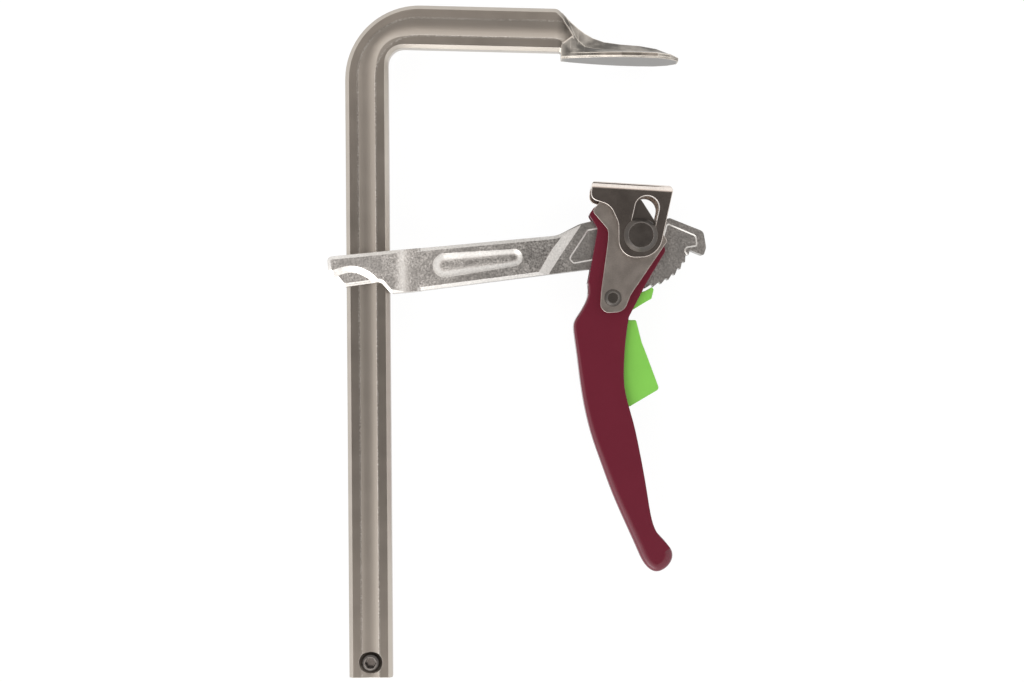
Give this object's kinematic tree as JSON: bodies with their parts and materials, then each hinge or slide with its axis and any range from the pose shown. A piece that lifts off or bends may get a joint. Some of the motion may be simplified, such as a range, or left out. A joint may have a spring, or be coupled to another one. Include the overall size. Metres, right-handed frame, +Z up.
{
  "type": "quick bar clamp",
  "caption": "All-steel lever bar clamp: a rail bent into the fixed jaw, a forged arm that slides on it, and a ratcheting cam lever that lifts a pressure plate.",
  "frame": {"origin": "centre of the bounding box's lower face; the clamp lies on its side on the floor", "axes": "+Y along the rail from its foot to the fixed jaw, +X from the rail towards the lever, +Z up through the clamp's thickness"},
  "size_m": [0.158, 0.281, 0.0298],
  "materials": {
    "rail_steel": "rolled and galvanised, satin",
    "forged_steel": "drop forged and galvanised, fine grained",
    "sheet_steel": "pressed sheet, galvanised, satin",
    "rivet_steel": "turned, galvanised, smooth",
    "red_steel": "powder coated, semi-gloss",
    "green_steel": "powder coated, semi-gloss",
    "spring_steel": "drawn wire"
  },
  "bodies": {
    "rail_body": {"rail": "rail_steel", "rail_stop_screw": "rivet_steel"},
    "arm": {"sliding_arm": "forged_steel", "main_rivet": "rivet_steel"},
    "plate": {"pressure_plate": "sheet_steel"},
    "lever": {"lever_handle": "red_steel", "side_plate_front": "sheet_steel", "side_plate_rear": "sheet_steel", "pawl_rivet": "rivet_steel", "trigger_spring": "spring_steel"},
    "trigger": {"release_trigger": "green_steel"}
  },
  "joints": [
    {"name": "arm_slide", "type": "slide", "parent": "rail_body", "child": "arm", "axis": [0, 1, 0], "range_m": [-0.153, 0.05]},
    {"name": "lever_pivot", "type": "hinge", "parent": "arm", "child": "lever", "pos_m": [0.05131, 0.0432, 0.0149], "axis": [0, 0, 1], "range_deg": [0, 54]},
    {"name": "plate_lift", "type": "slide", "parent": "arm", "child": "plate", "axis": [0.2317, 0.9728, 0], "range_m": [-0.0108, 0]},
    {"name": "trigger_pivot", "type": "hinge", "parent": "lever", "child": "trigger", "pos_m": [0.03972, 0.0174, 0.0149], "axis": [0, 0, 1], "range_deg": [-5, 3.5], "stiffness_Nm_per_rad": 0.4}
  ],
  "couplings": [
    {"joint": "plate_lift", "follows": "lever_pivot", "m_per_rad": -0.011296}
  ]
}
